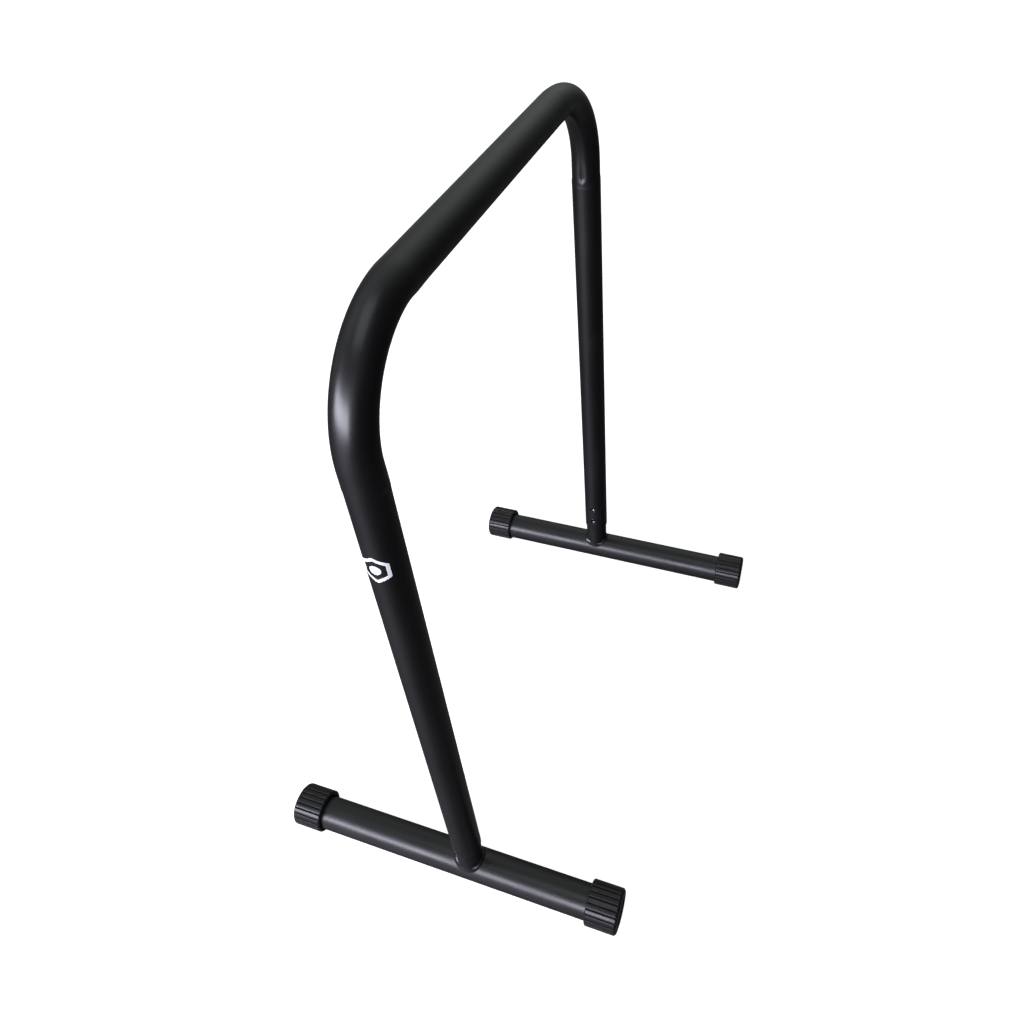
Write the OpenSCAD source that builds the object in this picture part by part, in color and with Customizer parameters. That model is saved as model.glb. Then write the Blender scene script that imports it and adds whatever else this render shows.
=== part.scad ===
// Free-standing kip bar: one bent tube on two T feet with levelling end caps.
// Origin on the floor under the middle of the bar. X runs along the bar, Y along the feet, Z is up.

/* [Bent tube] */
// Outside diameter of the bent tube
tube_od = 38; // [34:1:42]
// Wall of the bent tube
tube_wall = 1.5; // [1.2:0.1:2.5]
// Width over the outside of both legs
frame_width = 635; // [560:1:720]
// Floor to the top of the grip bar
frame_height = 876; // [700:1:950]
// Radius of each bend, at the middle of the tube
bend_radius = 106; // [80:1:130]

/* [Feet] */
// Outside diameter of the foot tubes
foot_od = 44.5; // [42:0.5:50]
// Wall of the foot tubes
foot_wall = 2; // [1.5:0.1:3]
// Leg axis to the outer end of the cap on a foot's long side
long_side = 263; // [220:1:320]
// Leg axis to the outer end of the cap on a foot's short side
short_side = 207; // [160:1:263]

/* [Spigots] */
// Foot tube's axis to the lower end of the leg
leg_lift = 58; // [48:1:66]
// Foot tube's axis to the top of the spigot, inside the leg
spigot_top = 134; // [128:1:160]
// Gap between the spigot and the leg all round
spigot_gap = 0.05; // [0.05:0.05:0.3]
// Wall of the spigots
spigot_wall = 2; // [1.5:0.1:2.5]
// How far the weld bead stands out from the two tubes
weld_size = 3; // [2:0.5:4]

/* [Set screws] */
// Foot tube's axis to the lower screw
screw_height = 77; // [74:1:84]
// Lower screw to upper screw
screw_spacing = 30; // [22:1:34]
// Thread diameter
screw_od = 8; // [6:1:8]
// Length of a set screw
screw_length = 12; // [10:1:14]
// How far each screw's end sits under the surface of the leg
screw_sink = 0.8; // [0.2:0.1:1.2]

/* [End caps] */
// Diameter over the ribs
cap_od = 56; // [55:0.5:62]
// Length of a cap
cap_length = 42; // [36:1:50]
// How far a cap's centre lies above the tube's axis at its lowest setting
cap_offset = 2.5; // [0:0.5:2.5]
// Number of ribs
rib_count = 24; // [16:2:32]
// Share of each rib's pitch that is rib and not groove
rib_share = 0.76; // [0.5:0.01:0.9]
// Depth of the grooves between the ribs
groove_depth = 1.2; // [0.4:0.1:1.2]
// Gap between a cap and its tube all round
cap_gap = 0.05; // [0.02:0.01:0.1]

/* [Mark] */
// Size of the printed mark, round the leg and along it
mark_size = 32; // [20:1:40]
// Foot tube's axis to the middle of the mark
mark_height = 622; // [300:1:640]

/* [Hidden] */
$fn = 96;

// bent tube
tube_r = tube_od / 2;
bore_r = tube_r - tube_wall;
leg_x = frame_width / 2 - tube_r;
bar_z = frame_height - tube_r;
bend_x = leg_x - bend_radius;
bend_z = bar_z - bend_radius;

// feet
foot_r = foot_od / 2;
foot_bore_r = foot_r - foot_wall;
cap_r = cap_od / 2;
foot_z = cap_r - cap_offset; // the caps' soles stand on the floor at z = 0
cap_floor = 4;
tube_end_gap = 0.5;

// spigot, with the nuts and screws on the side that faces the other leg
spigot_r = bore_r - spigot_gap;
spigot_bore_r = spigot_r - spigot_wall;
screw_r = screw_od / 2;
leg_hole_r = screw_r + 0.5;
spigot_hole_r = screw_r + 0.25;
nut_bore_r = screw_r + 0.05;
nut_across_flats = screw_od * 1.6;
nut_depth = screw_od * 0.8;
screw_end = tube_r - screw_sink;
socket_across_flats = screw_od / 2;
socket_depth = screw_od / 2;
screw_chamfer = 0.8;

// end cap
mouth_depth = 5;
mouth_r = foot_r + 0.75;
shoulder_drop = 1.2;
shoulder_length = 2.5;
rim_chamfer = 3;
recess_r = cap_r * 0.68;
recess_depth = 1.5;
groove_draft = 0.2;

mark_thickness = 0.2;
mark_line = 4;
mark_dot_r = 5.5;
mark_steps = 8; // points along each side of the mark's outline

over = 1; // how far a cutter runs past the solid it cuts

// ---- placing ----

// Puts a foot's pieces under the left leg. The leg's axis is x = y = 0 and the foot tube's axis is z = 0.
module under_left_leg() {
    translate([-leg_x, 0, foot_z]) children();
}

// The right foot is the same foot turned half round.
module under_right_leg() {
    translate([leg_x, 0, foot_z]) rotate([0, 0, 180]) children();
}

// Lays pieces that are drawn along Z along the foot tube instead, with their +Z end at +Y.
module along_foot() {
    rotate([-90, 0, 0]) children();
}

// Lays pieces that are drawn along Z across the leg at height z, with their +Z end towards the other leg.
module across_leg(z) {
    translate([0, 0, z]) rotate([0, 90, 0]) children();
}

// ---- bent tube ----

// A solid rod of radius r along the tube's path, with the legs run down to z = low.
module tube_path(r, low) {
    for (side = [0, 1]) mirror([side, 0, 0]) {
        translate([leg_x, 0, low]) cylinder(r = r, h = bend_z - low);
        translate([bend_x, 0, bend_z]) rotate([90, 0, 0])
            rotate_extrude(angle = 90) translate([bend_radius, 0]) circle(r = r);
    }
    translate([-bend_x, 0, bar_z]) rotate([0, 90, 0]) cylinder(r = r, h = 2 * bend_x);
}

module leg_screw_holes() {
    for (z = [screw_height, screw_height + screw_spacing])
        across_leg(z) cylinder(r = leg_hole_r, h = tube_r + over);
}

module u_frame() {
    leg_end = foot_z + leg_lift;
    color([0.09, 0.09, 0.10]) difference() {
        tube_path(tube_r, leg_end);
        tube_path(bore_r, leg_end - over);
        under_left_leg() leg_screw_holes();
        under_right_leg() leg_screw_holes();
    }
}

// ---- foot ----

module foot_tube() {
    low = -(short_side - cap_floor - tube_end_gap);
    high = long_side - cap_floor - tube_end_gap;
    color([0.09, 0.09, 0.10]) along_foot() translate([0, 0, low]) difference() {
        cylinder(r = foot_r, h = high - low);
        translate([0, 0, -over]) cylinder(r = foot_bore_r, h = high - low + 2 * over);
    }
}

// The foot tube's outer shape, long enough to cope the spigot and the weld bead.
module foot_tube_cutter(r) {
    along_foot() cylinder(r = r, h = 6 * foot_r, center = true);
}

module spigot() {
    color([0.09, 0.09, 0.10]) difference() {
        cylinder(r = spigot_r, h = spigot_top);
        translate([0, 0, -over]) cylinder(r = spigot_bore_r, h = spigot_top + 2 * over);
        foot_tube_cutter(foot_r);
        for (z = [screw_height, screw_height + screw_spacing])
            across_leg(z) cylinder(r = spigot_hole_r, h = tube_r + over);
    }
}

// A ring that follows the saddle where the spigot stands on the foot tube.
module weld_bead() {
    color([0.12, 0.12, 0.13]) difference() {
        intersection() {
            cylinder(r = spigot_r + weld_size, h = 2 * foot_r);
            foot_tube_cutter(foot_r + weld_size);
        }
        foot_tube_cutter(foot_r);
        translate([0, 0, -over]) cylinder(r = spigot_r, h = 2 * foot_r + 2 * over);
    }
}

// A hexagonal nut whose outer face follows the spigot's inner wall.
module weld_nut(z) {
    color([0.62, 0.62, 0.60]) intersection() {
        across_leg(z) translate([0, 0, spigot_bore_r - nut_depth]) difference() {
            cylinder(r = nut_across_flats / 2 / cos(30), h = nut_depth, $fn = 6);
            translate([0, 0, -over]) cylinder(r = nut_bore_r, h = nut_depth + 2 * over);
        }
        translate([0, 0, z - nut_across_flats]) cylinder(r = spigot_bore_r, h = 2 * nut_across_flats);
    }
}

// A headless screw with a hexagonal socket in its outer end.
module set_screw(z) {
    color([0.72, 0.72, 0.74]) across_leg(z) translate([0, 0, screw_end - screw_length]) difference() {
        rotate_extrude() polygon([
            [0, 0], [screw_r - screw_chamfer, 0], [screw_r, screw_chamfer],
            [screw_r, screw_length - screw_chamfer], [screw_r - screw_chamfer, screw_length],
            [0, screw_length]]);
        translate([0, 0, screw_length - socket_depth])
            cylinder(r = socket_across_flats / 2 / cos(30), h = socket_depth + over, $fn = 6);
    }
}

// ---- end caps ----

// Flat-crowned ribs with narrow grooves between them. One rib's crown lies at -Y and one at +Y.
module rib_outline() {
    pitch = 360 / rib_count;
    half_rib = cap_r * tan(pitch / 2) * rib_share;
    polygon([for (i = [0:rib_count - 1]) for (p = [
            [cap_r - groove_depth, -half_rib - groove_draft], [cap_r, -half_rib],
            [cap_r, half_rib], [cap_r - groove_depth, half_rib + groove_draft]])
        let (a = i * pitch + 90)
        [p[0] * cos(a) - p[1] * sin(a), p[0] * sin(a) + p[1] * cos(a)]]);
}

// The cap's turned outline: a shoulder at the mouth, a chamfered rim and a recessed end.
module cap_turning() {
    full_r = cap_r + 1;
    rotate_extrude() polygon([
        [0, 0], [cap_r - shoulder_drop, 0], [full_r, shoulder_length],
        [full_r, cap_length - rim_chamfer - 1], [cap_r - rim_chamfer, cap_length],
        [recess_r, cap_length], [recess_r - recess_depth, cap_length - recess_depth],
        [0, cap_length - recess_depth]]);
}

// A cap round the axis of its foot tube, its mouth at z = 0. Its thin side faces +Y.
module cap_on_axis() {
    difference() {
        translate([0, -cap_offset, 0]) intersection() {
            linear_extrude(height = cap_length) rib_outline();
            cap_turning();
        }
        translate([0, 0, -over]) cylinder(r = foot_r + cap_gap, h = cap_length - cap_floor + over);
        translate([0, 0, -over]) cylinder(r = mouth_r, h = mouth_depth + over);
    }
}

// A cap whose outer end is at y = tip. The sign of tip says which way it points.
module end_cap(tip) {
    color([0.05, 0.05, 0.05]) mirror([0, tip < 0 ? 1 : 0, 0])
        translate([0, abs(tip) - cap_length, 0]) along_foot() cap_on_axis();
}

// ---- mark ----

// Half-width on the flat of a line of the length s wrapped round the leg.
function wrapped(s) = tube_r * sin(s / tube_r * 180 / PI);

function corner(r, i) = [r * cos(60 * i), r * sin(60 * i)];

// A hexagon's outline with its points pulled in sideways, so that it looks even once on the tube.
function wrapped_hexagon(r) = [for (i = [0:5]) for (k = [0:mark_steps - 1])
    let (p = corner(r, i) + (corner(r, i + 1) - corner(r, i)) * k / mark_steps)
    [p[0], wrapped(p[1])]];

function wrapped_disc(r) = [for (a = [0:10:350]) [r * cos(a), wrapped(r * sin(a))]];

// A plain hexagon ring with a dot, printed on the outer face of the left leg.
module side_mark() {
    color([0.95, 0.95, 0.96]) translate([-leg_x, 0, foot_z + mark_height]) intersection() {
        difference() {
            cylinder(r = tube_r + mark_thickness, h = 2 * mark_size, center = true);
            cylinder(r = tube_r, h = 2 * mark_size + 2 * over, center = true);
        }
        rotate([0, -90, 0]) linear_extrude(height = 2 * tube_r) {
            difference() {
                polygon(wrapped_hexagon(mark_size / 2));
                polygon(wrapped_hexagon(mark_size / 2 - mark_line));
            }
            polygon(wrapped_disc(mark_dot_r));
        }
    }
}

// ---- one line for each node ----

upper = screw_height + screw_spacing;
lower = screw_height;

u_frame();
side_mark();

under_left_leg() foot_tube();  // left_foot_tube
under_left_leg() spigot();  // left_spigot
under_left_leg() weld_bead();  // left_weld_bead
under_left_leg() weld_nut(upper);  // left_upper_nut
under_left_leg() weld_nut(lower);  // left_lower_nut
under_left_leg() set_screw(upper);  // left_upper_set_screw
under_left_leg() set_screw(lower);  // left_lower_set_screw
under_left_leg() end_cap(-short_side);  // left_front_cap
under_left_leg() end_cap(long_side);  // left_back_cap

under_right_leg() foot_tube();  // right_foot_tube
under_right_leg() spigot();  // right_spigot
under_right_leg() weld_bead();  // right_weld_bead
under_right_leg() weld_nut(upper);  // right_upper_nut
under_right_leg() weld_nut(lower);  // right_lower_nut
under_right_leg() set_screw(upper);  // right_upper_set_screw
under_right_leg() set_screw(lower);  // right_lower_set_screw
under_right_leg() end_cap(long_side);  // right_front_cap
under_right_leg() end_cap(-short_side);  // right_back_cap
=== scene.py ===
"""A free-standing kip bar: its looks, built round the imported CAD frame. Every size is in metres."""

import math

import bmesh
import bpy
import numpy as np
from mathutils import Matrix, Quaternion, Vector


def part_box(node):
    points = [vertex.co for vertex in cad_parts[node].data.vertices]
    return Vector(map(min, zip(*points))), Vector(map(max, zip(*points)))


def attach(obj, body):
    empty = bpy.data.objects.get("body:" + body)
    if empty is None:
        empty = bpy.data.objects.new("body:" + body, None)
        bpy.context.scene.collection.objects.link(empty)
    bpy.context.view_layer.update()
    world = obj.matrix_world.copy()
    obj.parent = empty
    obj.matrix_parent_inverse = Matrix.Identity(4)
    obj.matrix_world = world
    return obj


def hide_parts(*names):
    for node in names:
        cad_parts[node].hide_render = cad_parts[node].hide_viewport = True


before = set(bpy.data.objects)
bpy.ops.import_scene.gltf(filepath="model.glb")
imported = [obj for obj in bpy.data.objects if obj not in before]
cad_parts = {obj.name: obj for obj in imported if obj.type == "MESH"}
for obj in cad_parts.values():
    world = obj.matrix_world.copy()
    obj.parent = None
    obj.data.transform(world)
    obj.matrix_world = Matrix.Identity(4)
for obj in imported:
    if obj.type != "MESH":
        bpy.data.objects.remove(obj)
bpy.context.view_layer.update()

MM = 0.001

# ---- sizes read from the frame ----

FRAME_LOW, FRAME_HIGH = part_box("u_frame")
TUBE_R = FRAME_HIGH.y
LEG_X = FRAME_HIGH.x - TUBE_R
BAR_Z = FRAME_HIGH.z - TUBE_R
LEG_END = FRAME_LOW.z

FOOT_LOW, FOOT_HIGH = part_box("left_foot_tube")
FOOT_R = (FOOT_HIGH.z - FOOT_LOW.z) / 2
FOOT_Z = (FOOT_HIGH.z + FOOT_LOW.z) / 2

SPIGOT_LOW, SPIGOT_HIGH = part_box("left_spigot")
SPIGOT_R = (SPIGOT_HIGH.x - SPIGOT_LOW.x) / 2

# ---- sizes that the frame's boxes don't give ----

TUBE_WALL = 1.5 * MM
BEND_R = 106 * MM
BEND_X = LEG_X - BEND_R
BEND_Z = BAR_Z - BEND_R
FOOT_WALL = 2 * MM
SPIGOT_WALL = 2 * MM
LEG_HOLE_R = 5 * MM  # half a millimetre more than in the CAD, like the holes in the photo
LEG_HOLE_ROUND = 0.5 * MM
SPIGOT_HOLE_R = 4.25 * MM
SPIGOT_HOLE_ROUND = 0.2 * MM
EDGE_ROUND = 0.4 * MM  # on the ends of the pipes

COLUMNS = 96  # points round the bent tube and the spigots
CROWDING = 0.5  # how much closer together they are on the side that faces in, where the holes are
PATCH = 10  # columns from a hole's middle to the edge of the patch that is rebuilt round it
FOOT_COLUMNS = 128
LEG_STEP = 12 * MM  # between the rows of points where the tube is straight
BEND_STEP = 2 * MM
LEDGE_STEP = 0.9 * MM
FOOT_STEP = 20 * MM
SPIGOT_STEP = 10 * MM


# ---- mesh building ----


class Shell:
    """One closed mesh, put together from rings of points.

    Each point also has a flow, its place on the piece before it was bent or laid down, with the
    tube's length along Z, and a hollow, which is 1 at the bottom of a groove and 0 on its crown; the
    caps' rubber paints shade into the grooves by it.
    """

    def __init__(self):
        self.points = []
        self.flows = []
        self.hollows = []
        self.faces = []

    def ring(self, points, flows=None, hollow=0.0):
        """Adds a ring of points and returns their numbers."""
        points = np.asarray(points, float)
        first = len(self.points)
        self.points.extend(map(tuple, points))
        self.flows.extend(map(tuple, points if flows is None else flows))
        self.hollows.extend(np.broadcast_to(hollow, len(points)))
        return np.arange(first, len(self.points))

    def strip(self, a, b, skip=()):
        """Joins two closed rings of the same length, apart from the columns in skip."""
        count = len(a)
        self.faces.extend(
            (a[i], a[(i + 1) % count], b[(i + 1) % count], b[i]) for i in range(count) if i not in skip
        )

    def chain(self, rings, closed=False):
        """Joins rings one after another, and the last one to the first if closed."""
        for a, b in zip(rings, rings[1:]):
            self.strip(a, b)
        if closed:
            self.strip(rings[-1], rings[0])

    def disc(self, ring, middle):
        """Closes a ring with a fan round a point in its middle."""
        (hub,) = self.ring([middle])
        count = len(ring)
        self.faces.extend((ring[i], ring[(i + 1) % count], hub) for i in range(count))

    def piece(self, name, material, body, replaced, sharp=50):
        """Makes the object, with its normals outwards, ties it to its body and hides the CAD part that
        it replaces.
        """
        mesh = bpy.data.meshes.new(name)
        mesh.from_pydata([tuple(p) for p in self.points], [], [tuple(map(int, f)) for f in self.faces])
        work = bmesh.new()
        work.from_mesh(mesh)
        bmesh.ops.recalc_face_normals(work, faces=work.faces)
        work.to_mesh(mesh)
        work.free()
        flow = mesh.attributes.new("flow", "FLOAT_VECTOR", "POINT")
        flow.data.foreach_set("vector", np.array(self.flows, np.float32).ravel())
        hollow = mesh.attributes.new("hollow", "FLOAT", "POINT")
        hollow.data.foreach_set("value", np.array(self.hollows, np.float32))
        mesh.polygons.foreach_set("use_smooth", [True] * len(mesh.polygons))
        mesh.set_sharp_from_angle(angle=math.radians(sharp))
        mesh.materials.append(material)
        made = bpy.data.objects.new(name, mesh)
        bpy.context.scene.collection.objects.link(made)
        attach(made, body)
        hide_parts(replaced)
        return made


def spaced(start, stop, step):
    """Evenly spaced values after start, up to and with stop, no further apart than step."""
    count = max(1, math.ceil(abs(stop - start) / step - 1e-6))
    return [start + (stop - start) * (i + 1) / count for i in range(count)]


def arc_steps(count):
    """Angles from 0 to a quarter turn."""
    return [math.pi / 2 * i / count for i in range(count + 1)]


def smooth_step(t):
    """Rises smoothly from 0 to 1 while t does."""
    t = np.clip(t, 0, 1)
    return t * t * (3 - 2 * t)


def smooth_min(a, b, blend):
    """The lower of a and b, rounded where they cross."""
    return -blend * np.logaddexp(-a / blend, -b / blend)


def full_turn(count):
    """Evenly spaced angles all the way round."""
    return np.arange(count) * 2 * math.pi / count


def centre(node):
    """The middle of a CAD node's box."""
    low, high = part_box(node)
    return (low + high) / 2


# ---- pipes with drilled holes ----


def patch_edge(grid, rows, columns):
    """The points round the edge of a patch of a grid, in order."""
    low, high = rows
    first, last = columns
    return (
        [grid[low][j] for j in range(first, last)]
        + [grid[i][last] for i in range(low, high)]
        + [grid[high][j] for j in range(last, first, -1)]
        + [grid[i][first] for i in range(high, low, -1)]
    )


def lay_grid(shell, rings, patches, columns):
    """Joins the rings of one wall and leaves out the cells inside the patches."""
    inside = set(range(*columns))
    for i, (a, b) in enumerate(zip(rings, rings[1:])):
        shell.strip(a, b, inside if any(low <= i < high for low, high in patches) else ())


def drill(shell, loops, radii, axis_x, facing, middle_z, hole_r, lip):
    """Fills the patch round one hole: wall, rounded mouth, bore and inner wall.

    loops are the patch's edges on the outer and inner wall, radii those walls' radii, axis_x the
    pipe's axis, facing the way that the hole looks along X, and lip the rounding of its mouth.
    """

    def on_wall(radius, across):
        x = axis_x + facing * np.sqrt(radius**2 - across[:, 0] ** 2)
        return np.stack([x, across[:, 0], middle_z + across[:, 1]], 1)

    def edge_of(loop):
        return np.array([shell.points[i] for i in loop])[:, 1:] - (0, middle_z)

    outer_edge, inner_edge = edge_of(loops[0]), edge_of(loops[1])
    way = outer_edge / np.linalg.norm(outer_edge, axis=1)[:, None]
    mouth = way * (hole_r + lip)
    rings = [loops[0]]
    for share in (0.35, 0.7):
        rings.append(shell.ring(on_wall(radii[0], outer_edge + (mouth - outer_edge) * share)))
    for a in arc_steps(4):
        depth = lip * (1 - math.cos(a))
        rings.append(shell.ring(on_wall(radii[0] - depth, way * (hole_r + lip * (1 - math.sin(a))))))
    for share in (1, 0.5):
        rings.append(shell.ring(on_wall(radii[1], inner_edge + (way * hole_r - inner_edge) * share)))
    shell.chain(rings + [loops[1]])


# Angles of the columns round a tube, from the bend's outer side. Halfway round is the inner side.
AROUND = full_turn(COLUMNS) + CROWDING * np.sin(full_turn(COLUMNS))
HOLE_COLUMNS = (COLUMNS // 2 - PATCH, COLUMNS // 2 + PATCH)
# How far from a pipe's end and how far in each ring of its rounded rim is, from the end inwards.
RIM = [(EDGE_ROUND * (1 - math.cos(a)), EDGE_ROUND * (1 - math.sin(a))) for a in arc_steps(3)]


def patch_levels(middle_z):
    """Heights of the rows of points through the patch round a hole."""
    half = TUBE_R * (math.pi - AROUND[HOLE_COLUMNS[0]])
    return [middle_z + half * i / PATCH for i in range(-PATCH, PATCH + 1)]


def hole_heights(side):
    """Heights of a leg's two holes, the lower one first."""
    return [centre(f"{side}_{level}_set_screw").z for level in ("lower", "upper")]


def leg_levels(bottom, top, holes, step):
    """Row heights from bottom to top, close together round the holes."""
    levels = [bottom]
    for middle in holes:
        patch = patch_levels(middle)
        levels += spaced(levels[-1], patch[0], step) + patch[1:]
    return levels + spaced(levels[-1], top, step)


def patch_rows(levels, holes):
    """First and last row number of each hole's patch."""
    firsts = [levels.index(patch_levels(middle)[1]) - 1 for middle in holes]
    return [(first, first + 2 * PATCH) for first in firsts]


# ---- bent tube ----

# A bend changes the tube's section a little: how far its outside and inside sink, and its sides bulge.
SQUEEZE = {"left": (0.0, 0.85 * MM, 0.6 * MM), "right": (1.0 * MM, 1.0 * MM, -0.5 * MM)}
# The change starts at a ledge with a low lip on the leg, where the bending clamp held the tube.
LEDGE_RUN = BEND_Z - LEG_END - 30 * MM  # distance along the tube from the leg's end
LEDGE_LENGTH = 6 * MM
LEDGE_RISE = 9 * MM  # how much higher the ledge is away from the bend's inner side
LEDGE_LIP = 0.4 * MM
LEDGE_LIP_LENGTH = 7 * MM
FINE_ROWS = (14 * MM, 24 * MM)  # how far below and above the ledge the rows of points are close
INSIDE_LENGTH = 45 * MM  # the length over which the inside sinks
# It fades out where the bar starts, with another low lip.
FADE_RUN = BEND_Z - LEG_END + BEND_R * math.pi / 2 - 2 * MM
FADE_LENGTH = 20 * MM
BAR_LIP = 0.7 * MM
BAR_LIP_LENGTH = 14 * MM
# A shallow channel with a narrow crease in it runs along the bend's inner line, and starts in a
# point: depth, half a width, where it starts past the ledge, and how much later its sides start.
CHANNEL = (1.8 * MM, 7.5 * MM, 4 * MM, 4 * MM)
CREASE = (0.5 * MM, 3.2 * MM, 7 * MM, 9 * MM)
START_LENGTH = 10 * MM
POINT_REACH = 4 * MM  # how quickly the start falls back to either side of the point
KEPT = 0.3  # share of both depths that is left along the bend


def bend_change(squeeze, run):
    """How far each column of the tube's wall moves out, at one distance from the leg's end."""
    outside, inside, sides = squeeze
    past_ledge, past_fade = run - LEDGE_RUN, run - FADE_RUN
    outer, inner = np.maximum(np.cos(AROUND), 0), np.maximum(-np.cos(AROUND), 0)
    across = np.abs(TUBE_R * (AROUND - math.pi))
    above = past_ledge - LEDGE_RISE * (1 - inner)
    gentle = smooth_step(past_ledge / INSIDE_LENGTH)

    change = smooth_step(above / LEDGE_LENGTH + 0.5) * (sides * np.sin(AROUND) ** 2 - outside * outer**2)
    change -= gentle * inside * smooth_step(inner / 0.75)
    for depth, half_width, start, delay in (CHANNEL, CREASE):
        point = start + delay * (1 - np.exp(-across / POINT_REACH))
        hollow = 0.5 + 0.5 * np.cos(math.pi * np.minimum(across / half_width, 1))
        kept = 1 - (1 - KEPT) * gentle
        change -= kept * depth * hollow * smooth_step((past_ledge - point) / START_LENGTH)

    ledge_lip = smooth_step(0.5 - above / LEDGE_LENGTH) * np.exp(np.minimum(above, 0) / LEDGE_LIP_LENGTH)
    bar_lip = math.exp(-((past_fade / BAR_LIP_LENGTH) ** 2))
    lips = np.sqrt(inner) * (LEDGE_LIP * ledge_lip + BAR_LIP * bar_lip)
    return change * smooth_step(0.5 - past_fade / FADE_LENGTH) + lips


class Station:
    """One ring's place along the tube: its centre, and the way from there to the bend's outer side."""

    def __init__(self, x, z, out_x, out_z, run, inset=0.0):
        self.centre = np.array((x, 0, z))
        self.outward = np.array((out_x, 0, out_z))
        self.run = run  # distance from the nearer end of the tube
        self.inset = inset  # how far the rounded end draws the wall in
        self.side = "left"
        self.along = run  # distance from the left end

    def mirrored(self, length):
        """The same place on the other half of the tube."""
        x, _, z = self.centre
        out_x, _, out_z = self.outward
        other = Station(-x, z, -out_x, out_z, self.run, self.inset)
        other.side = "right"
        other.along = length - self.run
        return other

    def ring(self, radius, inwards=-1):
        """Points round the tube at this place, and where they were before it was bent.

        inwards is the way that the wall's rounded end goes: -1 outside the tube and 1 inside it.
        """
        out, across = np.cos(AROUND), np.sin(AROUND)
        r = radius + bend_change(SQUEEZE[self.side], self.run) + inwards * self.inset
        points = self.centre + np.outer(r * out, self.outward) + np.outer(r * across, (0, 1, 0))
        return points, np.stack([r * out, r * across, np.full(COLUMNS, self.along)], 1)


def left_half():
    """Stations from the left leg's end to the middle of the bar, and the leg's row heights."""
    ledge_z = LEG_END + LEDGE_RUN
    levels = [LEG_END + rise for rise, _ in RIM[:-1]]
    levels += leg_levels(LEG_END + EDGE_ROUND, ledge_z - FINE_ROWS[0], hole_heights("left"), LEG_STEP)
    levels += spaced(levels[-1], ledge_z + FINE_ROWS[1], LEDGE_STEP)
    levels += spaced(levels[-1], BEND_Z, BEND_STEP)
    insets = [inset for _, inset in RIM] + [0.0] * len(levels)
    stations = [Station(-LEG_X, z, -1, 0, z - LEG_END, inset) for z, inset in zip(levels, insets)]
    run = BEND_Z - LEG_END
    for a in spaced(0, math.pi / 2, math.radians(1.5)):
        out_x, out_z = -math.cos(a), math.sin(a)
        centre_x, centre_z = -BEND_X + BEND_R * out_x, BEND_Z + BEND_R * out_z
        stations.append(Station(centre_x, centre_z, out_x, out_z, run + BEND_R * a))
    run += BEND_R * math.pi / 2
    near_bend = spaced(0, 3 * BAR_LIP_LENGTH, BEND_STEP)
    for along in near_bend + spaced(near_bend[-1], BEND_X, LEG_STEP):
        stations.append(Station(-BEND_X + along, BAR_Z, 0, 1, run + along))
    return stations, levels


def frame_tube(material):
    """Leg, bend, bar, bend and leg in one pipe, with two drilled holes in each leg."""
    half, levels = left_half()
    length = 2 * half[-1].run
    stations = half + [s.mirrored(length) for s in reversed(half[:-1])]
    shell = Shell()
    outer = [shell.ring(*s.ring(TUBE_R)) for s in stations]
    inner = [shell.ring(*s.ring(TUBE_R - TUBE_WALL, inwards=1)) for s in stations]
    last = len(stations) - 1
    holes = hole_heights("left")
    left_rows = patch_rows(levels, holes)
    right_rows = [(last - high, last - low) for low, high in left_rows]
    patches = left_rows + right_rows
    for wall in (outer, inner):
        lay_grid(shell, wall, patches, HOLE_COLUMNS)
    shell.strip(outer[0], inner[0])
    shell.strip(outer[-1], inner[-1])
    radii = (TUBE_R, TUBE_R - TUBE_WALL)
    for rows_of_leg, axis_x in ((left_rows, -LEG_X), (right_rows, LEG_X)):
        for rows, middle_z in zip(rows_of_leg, holes):
            loops = [patch_edge(wall, rows, HOLE_COLUMNS) for wall in (outer, inner)]
            facing = -np.sign(axis_x)
            drill(shell, loops, radii, axis_x, facing, middle_z, LEG_HOLE_R, LEG_HOLE_ROUND)
    return shell.piece("frame_tube", material, "frame", "u_frame")


# ---- feet ----


def foot_pipe(side, material):
    """A straight pipe along Y with rounded ends."""
    node = f"{side}_foot_tube"
    low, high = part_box(node)
    axis_x = centre(node).x
    around = full_turn(FOOT_COLUMNS)
    places = [(low.y + rise, inset) for rise, inset in RIM]
    places += [(y, 0.0) for y in spaced(low.y + EDGE_ROUND, high.y - EDGE_ROUND, FOOT_STEP)[:-1]]
    places += [(high.y - rise, inset) for rise, inset in reversed(RIM)]
    shell = Shell()
    rings = []
    for radius, inwards, stops in ((FOOT_R, -1, places), (FOOT_R - FOOT_WALL, 1, places[::-1])):
        for y, inset in stops:
            r = radius + inwards * inset
            x, z = r * np.cos(around), r * np.sin(around)
            along = np.full(FOOT_COLUMNS, y)
            points = np.stack([axis_x + x, along, FOOT_Z + z], 1)
            rings.append(shell.ring(points, np.stack([x, z, along], 1)))
    shell.chain(rings, closed=True)
    return shell.piece(f"{side}_foot_pipe", material, "frame", node)


def saddle_height(x):
    """Height of the foot tube's upper surface at a distance x from its axis."""
    return FOOT_Z + np.sqrt(FOOT_R**2 - x**2)


COPE_SHARES = (0, 0.3, 0.6, 0.85)  # rows of points between the saddle and the first level row
COPE_RISE = 4 * MM  # height of that row above the foot tube


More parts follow.
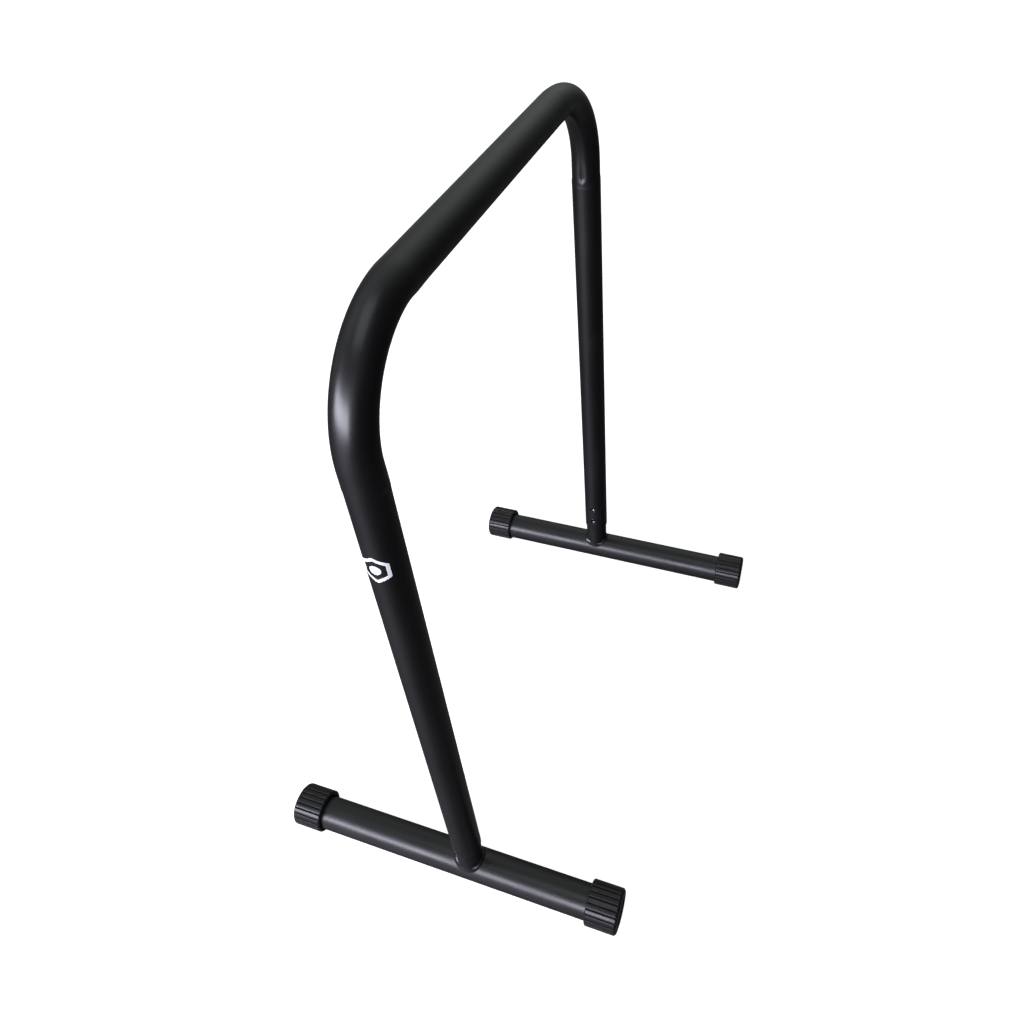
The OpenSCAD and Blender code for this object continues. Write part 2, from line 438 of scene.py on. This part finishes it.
def spigot_pipe(side, material):
    """The short pipe that stands on the foot tube, coped to it, with two holes for the screws."""
    node = f"{side}_spigot"
    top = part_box(node)[1].z
    axis_x = centre(node).x
    facing = -np.sign(axis_x)
    holes = hole_heights(side)
    start = FOOT_Z + FOOT_R + COPE_RISE
    levels = leg_levels(start, top - EDGE_ROUND, holes, SPIGOT_STEP)
    radii = (SPIGOT_R, SPIGOT_R - SPIGOT_WALL)
    shell = Shell()

    def wall(radius, inwards):
        """The rings of one wall, from the saddle up to the rounded rim."""
        x, y = -facing * radius * np.cos(AROUND), radius * np.sin(AROUND)
        rows = [(saddle_height(x) * (1 - share) + start * share, 1) for share in COPE_SHARES]
        rows += [(z, 1) for z in levels]
        rows += [(top - rise, 1 + inwards * inset / radius) for rise, inset in reversed(RIM[:-1])]
        return [
            shell.ring(np.stack([axis_x + x * size, y * size, np.broadcast_to(z, COLUMNS)], 1))
            for z, size in rows
        ]

    walls = [wall(radii[0], -1), wall(radii[1], 1)]
    below = len(COPE_SHARES)
    patches = [(first + below, last + below) for first, last in patch_rows(levels, holes)]
    for rings in walls:
        lay_grid(shell, rings, patches, HOLE_COLUMNS)
    shell.strip(walls[0][0], walls[1][0])
    shell.strip(walls[0][-1], walls[1][-1])
    for rows, middle_z in zip(patches, holes):
        loops = [patch_edge(rings, rows, HOLE_COLUMNS) for rings in walls]
        drill(shell, loops, radii, axis_x, facing, middle_z, SPIGOT_HOLE_R, SPIGOT_HOLE_ROUND)
    return shell.piece(f"{side}_spigot_pipe", material, "frame", node)


BEAD_COLUMNS = 416
BEAD_RIPPLES = 46
BEAD_RIPPLE = 0.07  # share of the bead's size
BEAD_FULLNESS = 1.35  # 1 is a flat fillet and 2 a full quarter round
BEAD_WIDTH = 2.6 * MM  # along the foot tube's surface, and up the spigot
BEAD_ROOT = 0.3 * MM  # how far the bead reaches into the tubes
BEAD_ROOT_SHARE = 0.8  # and how much of its width that part has
BEAD_SQUARENESS = 0.7  # how much wider the bead is between the saddle's high and low points


def weld_bead(side, material):
    """A rippled fillet round the foot of the spigot, laid along the saddle."""
    node = f"{side}_weld_bead"
    axis_x = centre(node).x
    turn = full_turn(BEAD_COLUMNS)
    wander = 0.5 * np.sin(3 * turn + 0.7) + 0.3 * np.sin(7 * turn)
    steepness = SPIGOT_R * np.cos(turn) ** 2 / np.sqrt(FOOT_R**2 - (SPIGOT_R * np.cos(turn)) ** 2)
    level_share = 1 / np.sqrt(1 + steepness**2)
    shell = Shell()

    def ring(out, up):
        """One line of the bead, out from the spigot along the foot tube and up from its surface."""
        r = SPIGOT_R + out * level_share * (1 + BEAD_SQUARENESS * np.sin(2 * turn) ** 2)
        x, y = r * np.cos(turn), r * np.sin(turn)
        return shell.ring(np.stack([axis_x + x, y, saddle_height(x) + up / level_share], 1))

    rings = []
    power = 2 / BEAD_FULLNESS
    uneven = 0.04 * (1 + np.sin(5 * turn + 1))
    for a in arc_steps(10):
        middle = math.sin(2 * a)  # 1 halfway across the bead and 0 at its edges
        crest = np.abs(np.sin((BEAD_RIPPLES * turn + wander + 1.1 * middle) / 2))
        size = BEAD_WIDTH * (1 - BEAD_RIPPLE * (1 - crest) * (0.3 + middle) - uneven)
        rings.append(ring(size * math.sin(a) ** power, size * math.cos(a) ** power))
    root_width = BEAD_WIDTH * BEAD_ROOT_SHARE
    rings.append(ring(root_width, -BEAD_ROOT))
    rings.append(ring(-BEAD_ROOT, -BEAD_ROOT))
    rings.append(ring(-BEAD_ROOT, root_width))
    shell.chain(rings, closed=True)
    return shell.piece(f"{side}_weld", material, "frame", node)


# ---- set screws ----

THREAD_PITCH = 1.25 * MM
THREAD_DEPTH = 0.6 * MM
SCREW_CHAMFER = 0.3 * MM
SCREW_SUNK = 0.8 * MM  # how much deeper the visible end sits than the CAD screw's
SOCKET_FLATS = 4 * MM
SOCKET_DEPTH = 4 * MM
DISH_R = 3.5 * MM  # the shallow cone round the socket's mouth
DISH_DEPTH = 0.95 * MM
CUP_R = 1.9 * MM  # the cup in the screw's inner end
CUP_DEPTH = 0.75 * MM
DRILL_TIP = 0.7 * MM  # how much deeper than the socket its drilled tip goes
SCREW_COLUMNS = 48


def set_screw(side, level, material):
    """A headless screw across the leg, with a cup at its inner end and a hexagonal socket outside."""
    node = f"{side}_{level}_set_screw"
    low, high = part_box(node)
    radius, length = (high.z - low.z) / 2, high.x - low.x
    middle = centre(node)
    facing = -np.sign(middle.x)
    root_x = middle.x - facing * length / 2
    length -= SCREW_SUNK
    turn = full_turn(SCREW_COLUMNS)
    corner = math.pi / 3
    socket = SOCKET_FLATS / 2 / np.cos((turn + corner / 2) % corner - corner / 2)
    shell = Shell()

    def ring(along, r):
        y, z = middle.y + r * np.cos(turn), middle.z + r * np.sin(turn)
        return shell.ring(np.stack([np.full(SCREW_COLUMNS, root_x + facing * along), y, z], 1))

    def close(end_ring, along):
        shell.disc(end_ring, (root_x + facing * along, middle.y, middle.z))

    rings = [ring(CUP_DEPTH - 0.05 * MM, 0.3 * MM), ring(0.0, CUP_R), ring(0.0, radius - SCREW_CHAMFER)]
    for along in spaced(0, length, THREAD_PITCH / 10)[:-1]:
        phase = (along / THREAD_PITCH - facing * turn / (2 * math.pi)) % 1
        thread = radius - THREAD_DEPTH * np.clip(np.abs(2 * phase - 1) * 1.3 - 0.15, 0, 1)
        chamfer = radius - SCREW_CHAMFER + min(along, length - along)
        rings.append(ring(along, smooth_min(thread, chamfer, 0.03 * MM)))
    rings.append(ring(length, radius - SCREW_CHAMFER - 0.02 * MM))
    for share in (0, 0.5, 1):
        rings.append(ring(length - DISH_DEPTH * share, DISH_R * (1 - share) + socket * share))
    rings.append(ring(length - SOCKET_DEPTH, socket))
    tip = length - SOCKET_DEPTH - DRILL_TIP
    rings.append(ring(tip + 0.1 * MM, 0.4 * MM))
    shell.chain(rings)
    close(rings[0], CUP_DEPTH)
    close(rings[-1], tip)
    return shell.piece(f"{side}_{level}_screw", material, "frame", node, sharp=38)


def weld_nut(side, level, material):
    """A hidden nut, which keeps its CAD shape."""
    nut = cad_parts[f"{side}_{level}_nut"]
    nut.data.materials.clear()
    nut.data.materials.append(material)


# ---- end caps ----

RIBS = 24
RIB_SHARE = 0.76
GROOVE_DEPTH = 1.9 * MM
GROOVE_SLOPE = 0.09  # share of a rib's pitch that a groove's rounded side takes
CROWN_DROP = 0.16 * MM  # how much lower a rib is at its edges than along its middle
SHOULDER_DROP = 1.2 * MM
SHOULDER_LENGTH = 2.0 * MM  # the tapered start of the ribs at the cap's mouth
MOUTH_ROUND = 0.5 * MM
RIM_SIZE = 3 * MM  # the rounded edge at the cap's closed end
RIM_FULLNESS = 1.3
RECESS_SHARE = 0.68  # of the cap's radius
RECESS_DEPTH = 1.5 * MM
RECESS_ROUND = 0.5 * MM
GATE_R = 2.6 * MM  # the low round mark that moulding leaves in the middle of the recess
GATE_HEIGHT = 0.4 * MM
CAP_FLOOR = 4 * MM
CAP_GAP = 0.05 * MM  # between the bore and the foot tube
RELIEF_GAP = 1.4 * MM  # the same at the mouth, which is wider
RELIEF_DEPTH = 7 * MM


def rib_section(radius):
    """Angles round a cap, its radius there before it is turned, and how deep in a groove each one is."""
    edge = RIB_SHARE / 2
    half = [0, 0.45 * edge, 0.8 * edge]
    half += [edge + GROOVE_SLOPE * k for k in (-0.5, -0.3, -0.1, 0.1, 0.3, 0.5)]
    half.append((half[-1] + 0.5) / 2)
    shares = np.array([-0.5] + [-s for s in reversed(half[1:])] + half)
    pitch = 2 * math.pi / RIBS
    hollow = smooth_step((np.abs(shares) - edge) / GROOVE_SLOPE + 0.5)
    crown = radius - CROWN_DROP * (shares / edge) ** 2
    section = crown * (1 - hollow) + (radius - GROOVE_DEPTH) * hollow
    turn = np.concatenate([(i + shares) * pitch for i in range(RIBS)])
    return turn, np.tile(section, RIBS), np.tile(hollow, RIBS)


def cap_outline(radius, length):
    """The outside of a cap from its mouth to its end as (distance from the mouth, turned radius)."""
    shoulder_r = radius - SHOULDER_DROP
    outline = [
        (MOUTH_ROUND * (1 - math.sin(a)), shoulder_r - MOUTH_ROUND * (1 - math.cos(a)))
        for a in reversed(arc_steps(3))
    ]
    free_r = radius + 1 * MM  # past the ribs, which then set the radius on their own
    for along in spaced(MOUTH_ROUND, SHOULDER_LENGTH, 0.35 * MM):
        share = (along - MOUTH_ROUND) / (SHOULDER_LENGTH - MOUTH_ROUND)
        outline.append((along, shoulder_r + (free_r - shoulder_r) * share))
    outline += [(along, free_r) for along in spaced(SHOULDER_LENGTH, length - RIM_SIZE - 1 * MM, 5 * MM)]
    power = 2 / RIM_FULLNESS
    for a in arc_steps(8):
        along = length - RIM_SIZE * (1 - math.sin(a) ** power)
        outline.append((along, radius - RIM_SIZE + (RIM_SIZE + 0.2 * MM) * math.cos(a) ** power))
    recess_r, floor = radius * RECESS_SHARE, length - RECESS_DEPTH
    return outline + [
        (length, recess_r + RECESS_ROUND),
        (length - 0.15 * MM, recess_r),
        (floor + 0.15 * MM, recess_r - RECESS_DEPTH),
        (floor, recess_r - RECESS_DEPTH - RECESS_ROUND),
        (floor, GATE_R + 0.6 * MM),
        (floor + GATE_HEIGHT - 0.05 * MM, GATE_R),
        (floor + GATE_HEIGHT, 1 * MM),
    ]


def cap_bore(length):
    """The inside of a cap from its floor to its mouth as (distance from the mouth, radius)."""
    bore_r, mouth_r = FOOT_R + CAP_GAP, FOOT_R + RELIEF_GAP
    floor = length - CAP_FLOOR
    return [
        (floor, bore_r / 2),
        (floor, bore_r - 1 * MM),
        (floor - 1 * MM, bore_r),
        (floor / 2, bore_r),
        (RELIEF_DEPTH + 0.6 * MM, bore_r),
        (RELIEF_DEPTH, mouth_r),
        (MOUTH_ROUND, mouth_r),
        (0.15 * MM, mouth_r + 0.12 * MM),
        (0.0, mouth_r + MOUTH_ROUND),
    ]


def end_cap(side, end, material):
    """A ribbed cap on a foot tube. Its bore is round the tube's axis and its outside a little higher."""
    node = f"{side}_{end}_cap"
    low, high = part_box(node)
    middle = centre(node)
    radius, length = (high.x - low.x) / 2, high.y - low.y
    outward = 1 if end == "back" else -1
    mouth_y = low.y if outward > 0 else high.y
    turn, section, hollow = rib_section(radius)
    shell = Shell()

    def ring(along, r, middle_z, groove=0.0):
        across, rise, level = r * np.sin(turn), r * np.cos(turn), np.full(len(turn), along)
        points = np.stack([middle.x + across, mouth_y + outward * level, middle_z + rise], 1)
        return shell.ring(points, np.stack([across, rise, level], 1), groove)

    rings = [ring(along, r, FOOT_Z) for along, r in cap_bore(length)]
    for along, turned in cap_outline(radius, length):
        r = smooth_min(section, turned, 0.12 * MM)
        # The hollow given here marks the grooves, which the rubber darkens as painted shade.
        rings.append(ring(along, r, middle.z, hollow * float(turned > radius - GROOVE_DEPTH)))
    shell.chain(rings)
    shell.disc(rings[0], (middle.x, mouth_y + outward * (length - CAP_FLOOR), FOOT_Z))
    gate = length - RECESS_DEPTH + GATE_HEIGHT
    shell.disc(rings[-1], (middle.x, mouth_y + outward * gate, middle.z))
    return shell.piece(f"{node}_moulding", material, node, node, sharp=60)


# ---- mark ----

MARK_THICKNESS = 0.08 * MM
MARK_LINE = 4 * MM
MARK_DOT_R = 5.5 * MM
MARK_COLUMNS = 96


def side_mark(material):
    """A plain hexagon ring with a dot in it, printed round the outer face of the left leg."""
    low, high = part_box("side_mark")
    middle_z, radius = centre("side_mark").z, (high.z - low.z) / 2
    turn = full_turn(MARK_COLUMNS)
    corner = math.pi / 3
    hexagon = math.cos(corner / 2) / np.cos(turn % corner - corner / 2)
    shell = Shell()

    def ring(reach, lift):
        """A closed line on the leg, reach away from the mark's middle."""
        wrap = reach * np.sin(turn) / TUBE_R
        r = TUBE_R + lift
        x, y, z = -LEG_X - r * np.cos(wrap), r * np.sin(wrap), middle_z + reach * np.cos(turn)
        return shell.ring(np.stack([x, y, z], 1))

    top = [ring(hexagon * (radius - MARK_LINE * k / 4), MARK_THICKNESS) for k in range(5)]
    base = [ring(hexagon * (radius - MARK_LINE), 0.0), ring(hexagon * radius, 0.0)]
    shell.chain(top + base, closed=True)
    dot = [ring(MARK_DOT_R, 0.0)] + [ring(MARK_DOT_R * k / 4, MARK_THICKNESS) for k in (4, 3, 2, 1)]
    shell.chain(dot)
    shell.disc(dot[-1], (-LEG_X - TUBE_R - MARK_THICKNESS, 0, middle_z))
    shell.disc(dot[0], (-LEG_X - TUBE_R, 0, middle_z))
    return shell.piece("printed_mark", material, "frame", "side_mark")


# ---- materials ----


class Nodes:
    """A node tree, with short calls for the nodes that the materials and the world share."""

    def __init__(self, tree):
        self.tree = tree

    def fill(self, socket, value):
        """Joins a socket to another, or gives it a value."""
        if isinstance(value, bpy.types.NodeSocket):
            self.tree.links.new(value, socket)
        elif socket.type == "RGBA" and len(value) == 3:
            socket.default_value = (*value, 1)
        else:
            socket.default_value = value

    def node(self, kind, inputs=(), **settings):
        """A node with its settings, and its inputs, which are found by name or by place."""
        made = self.tree.nodes.new(kind)
        for name, value in settings.items():
            setattr(made, name, value)
        for key, value in dict(inputs).items():
            self.fill(made.inputs[key], value)
        return made

    def maths(self, operation, a, b=0.0):
        return self.node("ShaderNodeMath", {0: a, 1: b}, operation=operation).outputs[0]


class Look(Nodes):
    """A material, and the nodes that its detail comes from."""

    def __init__(self, name, **settings):
        self.material = bpy.data.materials.new(name)
        self.material.use_nodes = True
        super().__init__(self.material.node_tree)
        self.shader = self.tree.nodes["Principled BSDF"]
        for socket, value in settings.items():
            self.shader.inputs[socket.replace("_", " ")].default_value = value

    def join(self, source, socket):
        """Joins a value to one of the shader's inputs."""
        self.tree.links.new(source, self.shader.inputs[socket])

    def attribute(self, name):
        """What Shell kept with each point of the mesh."""
        return self.node("ShaderNodeAttribute", attribute_name=name)

    def flow(self, scale):
        """The place on the straight, unbent piece, stretched by scale."""
        place = self.attribute("flow").outputs["Vector"]
        return self.node("ShaderNodeMapping", {"Vector": place, "Scale": scale}).outputs["Vector"]

    def object_place(self):
        return self.node("ShaderNodeTexCoord").outputs["Object"]

    def noise(self, place, scale, detail=3.0, roughness=0.5):
        inputs = {"Vector": place, "Scale": scale, "Detail": detail, "Roughness": roughness}
        return self.node("ShaderNodeTexNoise", inputs).outputs["Fac"]

    def spread(self, value, low, high, start=0.3, stop=0.7):
        """Maps a value between start and stop to low and high."""
        inputs = {"Value": value, "From Min": start, "From Max": stop, "To Min": low, "To Max": high}
        return self.node("ShaderNodeMapRange", inputs).outputs["Result"]

    def colours(self, value, low, high):
        """Mixes two colours by a value between 0 and 1."""
        made = self.node("ShaderNodeMix", {"Factor": value}, data_type="RGBA")
        ends = [socket for socket in made.inputs if socket.type == "RGBA"]
        for socket, colour in zip(ends, (low, high)):
            self.fill(socket, colour)
        return next(socket for socket in made.outputs if socket.type == "RGBA")

    def bump(self, height, distance, strength=1.0, under=None):
        inputs = {"Height": height, "Strength": strength, "Distance": distance}
        if under is not None:
            inputs["Normal"] = under
        return self.node("ShaderNodeBump", inputs).outputs["Normal"]


def shade(colour, share):
    """The same colour, darker or lighter."""
    return tuple(c * share for c in colour)


def powder_coat(name, colour, gloss, streaks, grain):
    """Satin black powder coat, a little uneven, with orange peel and the tube's draw lines under it.

    streaks is how strong the draw lines are, and grain how deep the orange peel is.
    """
    look = Look(name, Metallic=0.0, Specular_IOR_Level=0.5)
    peel = look.noise(look.flow((1, 1, 1)), 400)
    lines = look.noise(look.flow((1, 1, 0.02)), 420, 4.0, 0.6)
    cloud = look.noise(look.flow((1, 1, 0.5)), 38)
    tone = look.colours(look.spread(cloud, 0, 1), shade(colour, 0.8), shade(colour, 1.2))
    look.join(tone, "Base Color")
    uneven = look.maths("ADD", look.spread(cloud, -0.03, 0.03), look.spread(lines, -streaks, streaks))
    look.join(look.maths("ADD", uneven, gloss), "Roughness")
    fine = look.bump(peel, grain, 0.6)
    look.join(look.bump(lines, 0.05 * MM, streaks * 4, fine), "Normal")
    return look.material


def moulded_rubber(name, colour):
    """Moulded black rubber: smooth crowns with a soft shine, duller grooves, and painted shade that
    darkens the grooves.
    """
    look = Look(name, Metallic=0.0, Specular_IOR_Level=0.42)
    groove = look.attribute("hollow").outputs["Fac"]
    grain = look.noise(look.flow((1, 1, 1)), 1500, 2.0)
    cloud = look.noise(look.flow((1, 1, 0.4)), 90)
    worn = look.colours(look.spread(cloud, 0, 1), colour, shade(colour, 1.6))
    # Painted shade: the base colour drops to a fifth of the rubber's colour at the bottom of each
    # groove.
    look.join(look.colours(groove, worn, shade(colour, 0.2)), "Base Color")
    rough = look.maths("ADD", look.spread(cloud, 0.29, 0.33), look.spread(groove, 0, 0.4, 0, 1))
    look.join(rough, "Roughness")
    look.join(look.bump(grain, 0.01 * MM, 0.4), "Normal")
    return look.material


def turned_steel(name, colour, gloss):
    """Plated or blackened steel on a turned part, with fine turning marks and dull spots."""
    look = Look(name, Metallic=1.0)
    place = look.object_place()
    marks = look.noise(place, 2600, 2.0)
    spots = look.noise(place, 500, 4.0)
    look.join(look.colours(look.spread(spots, 0, 1), shade(colour, 0.72), colour), "Base Color")
    look.join(look.spread(spots, gloss + 0.08, gloss), "Roughness")
    look.join(look.bump(marks, 0.01 * MM, 0.4), "Normal")
    return look.material


def white_print(name):
    """Screen-printed white ink, slightly thin in places over the black coat."""
    look = Look(name, Metallic=0.0, Specular_IOR_Level=0.4)
    thin = look.noise(look.object_place(), 900)
    tone = look.colours(look.spread(thin, 0, 1), (0.70, 0.71, 0.73), (0.86, 0.87, 0.89))
    look.join(tone, "Base Color")
    look.join(look.spread(thin, 0.52, 0.42), "Roughness")
    look.join(look.bump(thin, 0.02 * MM, 0.4), "Normal")
    return look.material


# ---- stage ----

# Soft boxes: place, where each one looks, size, brightness and colour. The key light is large and
# beside the left leg, a little above the bar, and a small one hangs over that end.
SOFT_BOXES = {
    "key": ((-3.06, 1.43, 1.23), (-0.30, 0.0, 0.75), (3.9, 1.15), 16.0, (0.855, 0.85, 1.0)),
    "top": ((-0.60, -0.05, 2.35), (-0.25, 0.0, 0.85), (1.1, 1.1), 1.3, (0.92, 0.96, 1.0)),
}

# The dim light from the rest of the room, as soft glows: azimuth, elevation and how far the glow
# reaches, all in degrees, and its colour at the middle.
ROOM_GLOWS = {
    "ceiling": (94, 60, 26, (0.52, 0.54, 0.55)),
    "side": (92, 38, 16, (0.26, 0.28, 0.28)),
    "back": (3, 36, 24, (0.67, 0.71, 0.68)),
    "far": (36, -5, 15, (0.16, 0.16, 0.16)),
    "front": (92, 2, 8, (0.3, 0.3, 0.31)),
    "table": (152, -22, 23, (0.72, 0.72, 0.84)),
    "left": (-168, 16, 13, (1.2, 1.2, 1.4)),
    "high": (-130, 56, 18, (0.2, 0.21, 0.22)),
    "floor": (30, -68, 38, (0.072, 0.072, 0.074)),
}
ROOM_DARK = (0.03, 0.03, 0.033)

CAMERA_PLACE = (-0.6875, -0.3137, 1.1712)
CAMERA_TURN = (22.66, -40.80, -4.99)  # azimuth and elevation of its line of sight, and roll
CAMERA_SHIFT = (-0.0268, -0.0669)  # shares of the picture's width
SENSOR_WIDTH, FOCAL_LENGTH = 36, 28.98  # in the camera's millimetres

FLOOR_R = 30
FLOOR_GLOW = 0.82


def direction(azimuth, elevation):
    """The unit vector towards an azimuth and elevation in degrees."""
    azimuth, elevation = math.radians(azimuth), math.radians(elevation)
    flat = math.cos(elevation)
    return Vector((flat * math.cos(azimuth), flat * math.sin(azimuth), math.sin(elevation)))


def soft_box(name, place, aim, size, radiance, colour):
    """A rectangular studio light at a place, looking at another, with one brightness all over."""
    place, aim = Vector(place), Vector(aim)
    data = bpy.data.lights.new(name, "AREA")
    data.shape = "RECTANGLE"
    data.size, data.size_y = size
    data.energy = radiance * math.pi * size[0] * size[1]
    data.color = colour
    lamp = bpy.data.objects.new(name, data)
    lamp.location = place
    lamp.rotation_mode = "QUATERNION"
    lamp.rotation_quaternion = (aim - place).to_track_quat("-Z", "Y")
    lamp.visible_camera = False
    bpy.context.scene.collection.objects.link(lamp)


def studio_world():
    """White behind the object. What lights it is a dark room with a few soft glows."""
    world = bpy.data.worlds.new("studio")
    world.use_nodes = True
    world.node_tree.nodes.clear()
    sky = Nodes(world.node_tree)
    place = sky.node("ShaderNodeTexCoord").outputs["Generated"]
    total = ROOM_DARK
    for azimuth, elevation, reach, colour in ROOM_GLOWS.values():
        ends = {0: place, 1: direction(azimuth, elevation)}
        cosine = sky.node("ShaderNodeVectorMath", ends, operation="DOT_PRODUCT").outputs["Value"]
        fall = math.log(2) / (1 - math.cos(math.radians(reach)))
        glow = sky.maths("EXPONENT", sky.maths("MULTIPLY", sky.maths("SUBTRACT", cosine, 1.0), fall))
        light = sky.node("ShaderNodeVectorMath", {0: colour, "Scale": glow}, operation="SCALE")
        parts = {0: light.outputs["Vector"], 1: total}
        total = sky.node("ShaderNodeVectorMath", parts, operation="ADD").outputs["Vector"]
    room = sky.node("ShaderNodeBackground", {"Color": total})
    white = sky.node("ShaderNodeBackground", {"Color": (1, 1, 1)})
    seen = sky.node("ShaderNodeLightPath").outputs["Is Camera Ray"]
    mix = sky.node("ShaderNodeMixShader", {0: seen, 1: room.outputs[0], 2: white.outputs[0]})
    sky.node("ShaderNodeOutputWorld", {"Surface": mix.outputs[0]})
    bpy.context.scene.world = world


def pale_floor():
    """A wide round floor, nearly white, that takes soft shadows and doesn't show in reflections."""
    work = bmesh.new()
    bmesh.ops.create_circle(work, cap_ends=True, radius=FLOOR_R, segments=96)
    mesh = bpy.data.meshes.new("floor")
    work.to_mesh(mesh)
    work.free()
    material = bpy.data.materials.new("pale_floor")
    material.use_nodes = True
    inputs = material.node_tree.nodes["Principled BSDF"].inputs
    inputs["Base Color"].default_value = (0.85, 0.85, 0.85, 1)
    inputs["Roughness"].default_value = 0.9
    inputs["Specular IOR Level"].default_value = 0.0
    inputs["Emission Color"].default_value = (1, 1, 1, 1)
    inputs["Emission Strength"].default_value = FLOOR_GLOW
    mesh.materials.append(material)
    floor = bpy.data.objects.new("floor", mesh)
    floor.visible_glossy = False
    floor.visible_diffuse = False
    bpy.context.scene.collection.objects.link(floor)


def photo_camera():
    """A camera above the left leg's front, looking down along the bar."""
    azimuth, elevation, roll = CAMERA_TURN
    data = bpy.data.cameras.new("camera")
    data.sensor_width = SENSOR_WIDTH
    data.lens = FOCAL_LENGTH
    data.shift_x, data.shift_y = CAMERA_SHIFT
    data.clip_start, data.clip_end = 0.01, 100
    camera = bpy.data.objects.new("camera", data)
    camera.location = CAMERA_PLACE
    camera.rotation_mode = "QUATERNION"
    upright = direction(azimuth, elevation).to_track_quat("-Z", "Y")
    camera.rotation_quaternion = upright @ Quaternion((0, 0, 1), math.radians(roll))
    bpy.context.scene.collection.objects.link(camera)
    bpy.context.scene.camera = camera


# ---- the whole object ----

COAT_COLOUR = (0.0058, 0.0059, 0.006)
frame_coat = powder_coat("frame_coat", COAT_COLOUR, 0.32, 0.02, 0.05 * MM)
foot_coat = powder_coat("foot_coat", COAT_COLOUR, 0.36, 0.04, 0.16 * MM)
weld_coat = powder_coat("weld_coat", COAT_COLOUR, 0.16, 0.01, 0.03 * MM)
cap_rubber = moulded_rubber("cap_rubber", (0.0065, 0.0065, 0.0068))
screw_zinc = turned_steel("screw_zinc", (0.22, 0.22, 0.23), 0.11)
nut_steel = turned_steel("nut_steel", (0.42, 0.42, 0.41), 0.40)
mark_ink = white_print("mark_ink")

frame_tube(frame_coat)
side_mark(mark_ink)
for side in ("left", "right"):
    foot_pipe(side, foot_coat)
    spigot_pipe(side, foot_coat)
    weld_bead(side, weld_coat)
    for level in ("upper", "lower"):
        set_screw(side, level, screw_zinc)
        weld_nut(side, level, nut_steel)
    for end in ("front", "back"):
        end_cap(side, end, cap_rubber)

pale_floor()
studio_world()
for name, settings in SOFT_BOXES.items():
    soft_box(name, *settings)
photo_camera()
bpy.context.scene.view_settings.view_transform = "Standard"
bpy.context.scene.view_settings.look = "None"
